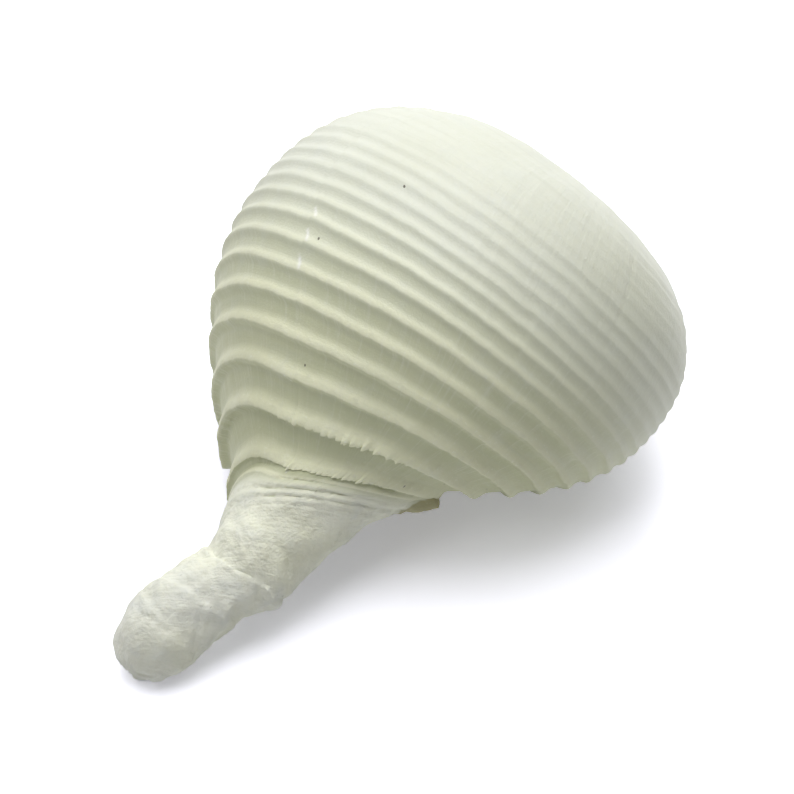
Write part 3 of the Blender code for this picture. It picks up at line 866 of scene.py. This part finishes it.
def aperture_sheet(outer, relief):
    """Rings from the rim of the lip to the closed end of the body chamber."""
    rim = np.concatenate([outer[-1, :SLOT_END_ROW + 1], outer[0, SLOT_END_ROW - 1:SUTURE_ROWS:-1]])
    rings = [rim]
    for behind in RING_ANGLES:
        into = rise(behind, MOUTH_ANGLES[-1], CHAMBER_FROM - MOUTH_ANGLES[-1])
        ring = mouth_ring(behind, relief) if into < 1.0 else 0.0
        if into > 0.0:
            ring = ring * (1.0 - into) + chamber_ring(behind, relief) * into
        rings.append(ring)
    last = chamber_ring(CHAMBER_END - 0.01, relief)
    rings.append(np.broadcast_to(last.mean(axis=0), rim.shape))
    rings = np.stack(rings)
    closed = np.concatenate([rings, rings[:, :1]], axis=1)
    behind = np.radians((0.0,) + RING_ANGLES + (CHAMBER_END,))[:, None]
    inside = smooth_step(behind / radians(4.0)) + 0.0 * closed[..., 0]
    along = np.broadcast_to(walked(closed[0]), inside.shape)
    return closed, np.broadcast_to(-behind, inside.shape), along, plain_masks(inside.shape, inside=inside)


def placement():
    """From millimetres about the coiling axis to metres in the frame of the lying shell."""
    turn = Matrix.Rotation(REST_PITCH, 4, "X") @ Matrix.Rotation(radians(-90.0), 4, "X") \
        @ Matrix.Rotation(REST_ROLL, 4, "Z")
    return Matrix.Translation(Vector(APEX_PLACE) * MM) @ turn @ Matrix.Scale(MM, 4)


def deselect():
    if bpy.context.object and bpy.context.object.mode != "OBJECT":
        bpy.ops.object.mode_set(mode="OBJECT")
    bpy.ops.object.select_all(action="DESELECT")


def wound_grid(name, points, theta, arc, masks):
    """Adds a flat grid and winds it into one sheet of the shell, with its UV map and masks."""
    deselect()
    columns, rows = points.shape[:2]
    bpy.ops.mesh.primitive_grid_add(x_subdivisions=rows - 1, y_subdivisions=columns - 1, size=0.1)
    sheet = bpy.context.object
    sheet.name = name
    mesh = sheet.data
    if len(mesh.vertices) != rows * columns:
        raise RuntimeError("the grid has %d points, not %d" % (len(mesh.vertices), rows * columns))
    mesh.vertices.foreach_set("co", points.reshape(-1).astype(np.float32))
    corner = np.empty(len(mesh.loops), dtype=np.int32)
    mesh.loops.foreach_get("vertex_index", corner)
    uv = np.stack([theta * MEAN_RADIUS, arc], axis=-1).reshape(-1, 2)[corner] * 0.1
    mesh.uv_layers[0].name = "growth"
    mesh.uv_layers[0].data.foreach_set("uv", uv.reshape(-1).astype(np.float32))
    for mask, values in masks.items():
        layer = mesh.attributes.new(mask, "FLOAT", "POINT")
        layer.data.foreach_set("value", np.clip(values, 0.0, 1.0).reshape(-1).astype(np.float32))
    return sheet


class Socket:
    """A node output that takes part in Python arithmetic by adding Math nodes."""

    def __init__(self, nodes, output):
        self.nodes, self.output = nodes, output

    def _math(self, operation, *values):
        return self.nodes.node("ShaderNodeMath", {"operation": operation}, *values)

    def __add__(self, other):
        return self._math("ADD", self, other)

    def __sub__(self, other):
        return self._math("SUBTRACT", self, other)

    def __rsub__(self, other):
        return self._math("SUBTRACT", other, self)

    def __mul__(self, other):
        return self._math("MULTIPLY", self, other)

    def __gt__(self, other):
        return self._math("GREATER_THAN", self, other)

    def __lt__(self, other):
        return self._math("LESS_THAN", self, other)

    __radd__ = __add__
    __rmul__ = __mul__


class Nodes:
    """Adds nodes to a tree and links them."""

    def __init__(self, tree):
        self.tree = tree

    def node(self, kind, settings, *values, output=0, **named):
        made = self.tree.nodes.new(kind)
        for key, value in settings.items():
            setattr(made, key, value)
        for key, value in list(enumerate(values)) + list(named.items()):
            place = made.inputs[key.replace("_", " ") if isinstance(key, str) else key]
            self.feed(place, value)
        return Socket(self, made.outputs[output])

    def feed(self, place, value):
        if isinstance(value, Socket):
            self.tree.links.new(value.output, place)
        else:
            place.default_value = value

    def show_to_eye(self, plain, shown, end):
        """One shader for what the eye sees, also in mirrors and glass, the other for the rest."""
        rays = [self.node("ShaderNodeLightPath", {}, output="Is %s Ray" % kind)
                for kind in ("Camera", "Glossy", "Transmission")]
        both = self.node("ShaderNodeMixShader", {}, rays[0] + rays[1] + rays[2],
                         Socket(self, plain.outputs[0]), shown)
        self.feed(self.tree.nodes[end].inputs["Surface"], both)


class Finish(Nodes):
    """A node material under construction."""

    def __init__(self, name):
        self.material = bpy.data.materials.new(name)
        self.material.use_nodes = True
        super().__init__(self.material.node_tree)
        self.shader = self.tree.nodes["Principled BSDF"]

    def principled(self, **values):
        for name, value in values.items():
            self.feed(self.shader.inputs[name.replace("_", " ")], value)

    def mask(self, name):
        return self.node("ShaderNodeAttribute", {"attribute_name": name}, output="Fac")

    def mix(self, share, first, second):
        made = self.tree.nodes.new("ShaderNodeMix")
        made.data_type = "RGBA"
        self.feed(made.inputs[0], share)
        for place, color in ((6, first), (7, second)):
            self.feed(made.inputs[place], color if isinstance(color, Socket) else (*color, 1.0))
        return Socket(self, made.outputs[2])

    def ramp(self, value, low, high):
        return self.node("ShaderNodeMapRange", {"interpolation_type": "SMOOTHSTEP"},
                         value, low, high, 0.0, 1.0)

    def noise(self, where, scale, detail, roughness):
        return self.node("ShaderNodeTexNoise", {}, Vector=where, Scale=scale, Detail=detail,
                         Roughness=roughness)

    def stretched(self, where, size):
        return self.node("ShaderNodeMapping", {}, Vector=where, Scale=size)


def shell_finish(sizes):
    """Papery, chalky shell: growth striae, olive valleys, sides and inner lip with painted shade, cream
    crests with painted highlight, pinholes and pits.
    """
    finish = Finish("papery_white_shell")
    place = finish.node("ShaderNodeTexCoord", {}, output="Object")
    grown = finish.node("ShaderNodeUVMap", {"uv_map": "growth"})
    lower, neck, shaded, valley, crest, chalk, lip, scar, inside = map(finish.mask, MASKS)

    cloud = finish.noise(place, 70.0, 4.0, 0.6)
    blotch = finish.noise(place, 260.0, 3.0, 0.55)
    striae = finish.noise(finish.stretched(grown, (11.0, 0.55, 1.0)), 1.6, 4.0, 0.65)
    threads = finish.noise(finish.stretched(grown, (0.35, 9.0, 1.0)), 1.4, 3.0, 0.6)
    grain = finish.noise(place, 2600.0, 3.0, 0.7)
    crumble = finish.noise(place, 850.0, 4.0, 0.6)
    cells = finish.node("ShaderNodeTexVoronoi", {"voronoi_dimensions": "2D"}, Vector=grown, Scale=1.25)
    chance = Socket(finish, cells.output.node.outputs["Color"])
    red = finish.node("ShaderNodeSeparateColor", {}, chance, output="Red")
    pinhole = (cells < 0.018) * (red > 0.84)

    color = sizes.papery_white
    for share, layer in (
            # Lower whorl colour, partly painted shade
            (lower * 0.9, sizes.lower_cream_and_shade),
            # Groove olive, partly painted shade
            (valley * 0.85, sizes.valley_olive_and_shade),
            # Crest cream, partly painted highlight
            (crest * (0.35 + 0.8 * blotch), sizes.crest_cream_and_highlight),
            (chalk, sizes.canal_chalk),
            (neck * 0.85, NECK_WHITE),
            # Painted shade on the whorl's back and lip side
            (shaded * 0.27, PAINTED_SHADE_OLIVE),
            # Olive mottle, partly painted shade in grooves and canal hollows
            (finish.ramp(cloud, 0.42, 0.68) * (0.10 + 0.25 * valley + 0.30 * chalk), OLIVE_MOTTLE_AND_SHADE),
            (finish.ramp(blotch, 0.50, 0.72) * (0.12 + 0.22 * chalk), COOL_MOTTLE),
            (finish.ramp(striae, 0.52, 0.70) * (0.10 + 0.14 * valley), PALE_STRIAE),
            (finish.ramp(threads, 0.50, 0.66) * 0.13, GREY_THREADS),
            (finish.ramp(inside, 0.1, 0.9) * 0.7, CHAMBER_CREAM),
            # Painted shade on the inner lip
            (finish.ramp(lip, 0.35, 0.8) * 0.9, sizes.inner_olive_and_shade),
            (scar * 0.95, SCAR_WHITE),
            (finish.ramp(grain, 0.56, 0.72) * (0.12 + 0.22 * crest), CHALK_SPECKS),
            (finish.ramp(crumble, 0.52, 0.70) * (0.08 + 0.14 * crest + 0.10 * chalk), PIT_OLIVE),
            (pinhole * 0.85, PINHOLE_BROWN)):
        color = finish.mix(share, color, layer)
    height = striae * (0.6 + 0.8 * valley) + threads * (0.35 + chalk) + grain * (0.5 + 0.6 * chalk) \
        + blotch * (0.2 + 1.8 * chalk + 1.2 * neck) + crumble * (1.3 * crest + 2.0 * chalk + neck) \
        - pinhole * 1.5
    bump = finish.node("ShaderNodeBump", {}, Strength=0.7, Distance=0.00017, Height=height)
    finish.principled(
        Base_Color=color, Roughness=0.50 + 0.14 * cloud + 0.10 * chalk, Normal=bump,
        Subsurface_Weight=0.12, Subsurface_Radius=(1.0, 0.9, 0.6), Subsurface_Scale=0.0012,
        Specular_IOR_Level=0.35)
    return finish.material


class RAPA_OT_shell(bpy.types.Operator):
    """Wind the shell from grids, weld them, flatten the resting points and give it its finish"""

    bl_idname = "rapa.shell"
    bl_label = "Shell"

    def execute(self, context):
        sizes = context.scene.rapa_shell
        relief = Relief(sizes)
        outer, spire = outer_sheet(relief, sizes), spire_sheet(relief)
        grids = {"shell_whorl": outer, "shell_spire": spire, "shell_apex": apex_sheet(spire[0]),
                 "shell_aperture": aperture_sheet(outer[0], relief)}
        sheets = [wound_grid(name, *grid) for name, grid in grids.items()]
        shell = sheets[0]
        deselect()
        for sheet in sheets:
            sheet.select_set(True)
        context.view_layer.objects.active = shell
        bpy.ops.object.join()
        shell.name = shell.data.name = "rapa_shell"
        shell.data.transform(placement())

        bpy.ops.object.mode_set(mode="EDIT")
        bpy.ops.mesh.select_all(action="SELECT")
        bpy.ops.mesh.remove_doubles(threshold=WELD_DISTANCE)
        bpy.ops.mesh.normals_make_consistent(inside=False)
        bpy.ops.mesh.bisect(plane_co=(0.0, 0.0, 0.0), plane_no=(0.0, 0.0, 1.0), use_fill=True,
                            clear_inner=True, threshold=CUT_DISTANCE)
        bpy.ops.object.mode_set(mode="OBJECT")
        bpy.ops.object.shade_smooth_by_angle(angle=SMOOTH_UNDER)
        shell.data.materials.clear()
        shell.data.materials.append(shell_finish(sizes))
        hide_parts("shell")
        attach(shell, "root")
        return {"FINISHED"}


class RAPA_OT_stage(bpy.types.Operator):
    """Set the pale floor, the soft lights and the camera round the shell"""

    bl_idname = "rapa.stage"
    bl_label = "Stage"

    def execute(self, context):
        stage = context.scene.rapa_stage
        deselect()
        bpy.ops.mesh.primitive_plane_add(size=stage.floor_width, location=(0.0, 0.0, 0.0))
        floor = context.object
        floor.name = "floor"
        floor.data.materials.append(floor_finish())
        self.light_softly(stage)
        self.light_sky(context.scene, stage)
        self.place_camera(context.scene)
        context.scene.view_settings.view_transform = "Standard"
        return {"FINISHED"}

    def light_softly(self, stage):
        right, up, _ = camera_axes()
        across = Vector((right.x, right.y, 0.0)).normalized()
        far = Vector((up.x, up.y, 0.0)) - across * (up.x * across.x + up.y * across.y)
        far.normalize()
        for name, (elevation, turn, strength) in LIGHTS.items():
            level, turn = radians(elevation), radians(turn)
            toward = (across * math.sin(turn) + far * math.cos(turn)) * math.cos(level)
            toward.z = math.sin(level)
            bpy.ops.object.light_add(type="SUN", location=toward)
            light = bpy.context.object
            light.name = name
            light.data.angle = LIGHT_SPREAD
            light.data.energy = strength * stage.light
            light.rotation_euler = toward.to_track_quat("Z", "Y").to_euler()

    def light_sky(self, scene, stage):
        world = bpy.data.worlds.new("sky")
        world.use_nodes = True
        nodes = Nodes(world.node_tree)
        glow = world.node_tree.nodes["Background"]
        glow.inputs["Color"].default_value = SKY_WHITE
        glow.inputs["Strength"].default_value = stage.sky
        seen = nodes.node("ShaderNodeBackground", {}, SKY_SEEN, 1.0)
        nodes.show_to_eye(glow, seen, "World Output")
        scene.world = world

    def place_camera(self, scene):
        right, up, back = [axis.normalized() for axis in camera_axes()]
        data = bpy.data.cameras.new("camera")
        camera = bpy.data.objects.new("camera", data)
        scene.collection.objects.link(camera)
        data.sensor_width = SENSOR_WIDTH
        data.lens = SENSOR_WIDTH * CAMERA_DISTANCE / FRAME_WIDTH
        data.clip_start, data.clip_end = 0.05, 50.0
        aim = Vector(APEX_PLACE) + right * FRAME_CENTRE[0] + up * FRAME_CENTRE[1] + back * AIM_DEPTH
        pose = Matrix((right, up, back)).transposed().to_4x4()
        camera.matrix_world = Matrix.Translation(aim * MM + back * CAMERA_DISTANCE) @ pose
        scene.camera = camera


def camera_axes():
    """Right, up and backward of the camera in the frame of the lying shell."""
    across, along = math.cos(VIEW_TURN), math.sin(VIEW_TURN)
    level, tilt = math.cos(VIEW_TILT), math.sin(VIEW_TILT)
    right = (across, -along * tilt, level * along)
    up = (-along, -across * tilt, level * across)
    back = (0.0, -level, -tilt)
    lie = placement().to_3x3().normalized()
    return [lie @ Vector(axis) for axis in (right, up, back)]


def floor_finish():
    """Plain pale floor that keeps the shadow and shows white to the eye where it is lit."""
    finish = Finish("pale_floor")
    finish.principled(Base_Color=FLOOR_GREY, Roughness=0.9, Specular_IOR_Level=0.1)
    white = finish.node("ShaderNodeBsdfDiffuse", {}, FLOOR_SEEN)
    glow = finish.node("ShaderNodeEmission", {}, FLOOR_GLOW, FLOOR_GLOW_STRENGTH)
    seen = finish.node("ShaderNodeAddShader", {}, white, glow)
    finish.show_to_eye(finish.shader, seen, "Material Output")
    return finish.material


class RAPA_PT_panel(bpy.types.Panel):
    """Lists the shell and its stage in the sidebar."""

    bl_idname = "RAPA_PT_panel"
    bl_label = "Rapa Shell"
    bl_space_type = "VIEW_3D"
    bl_region_type = "UI"
    bl_category = "Rapa Shell"

    def draw(self, context):
        for group, operator in ((context.scene.rapa_shell, "rapa.shell"),
                                (context.scene.rapa_stage, "rapa.stage")):
            for name in group.__annotations__:
                self.layout.prop(group, name)
            self.layout.operator(operator)


CLASSES = (ShellSizes, StageSizes, RAPA_OT_shell, RAPA_OT_stage, RAPA_PT_panel)


def register():
    for entry in CLASSES:
        bpy.utils.register_class(entry)
    bpy.types.Scene.rapa_shell = bpy.props.PointerProperty(type=ShellSizes)
    bpy.types.Scene.rapa_stage = bpy.props.PointerProperty(type=StageSizes)


def unregister():
    del bpy.types.Scene.rapa_stage
    del bpy.types.Scene.rapa_shell
    for entry in reversed(CLASSES):
        bpy.utils.unregister_class(entry)


def main():
    register()
    bpy.ops.rapa.shell()
    bpy.ops.rapa.stage()


if __name__ == "__main__":
    main()
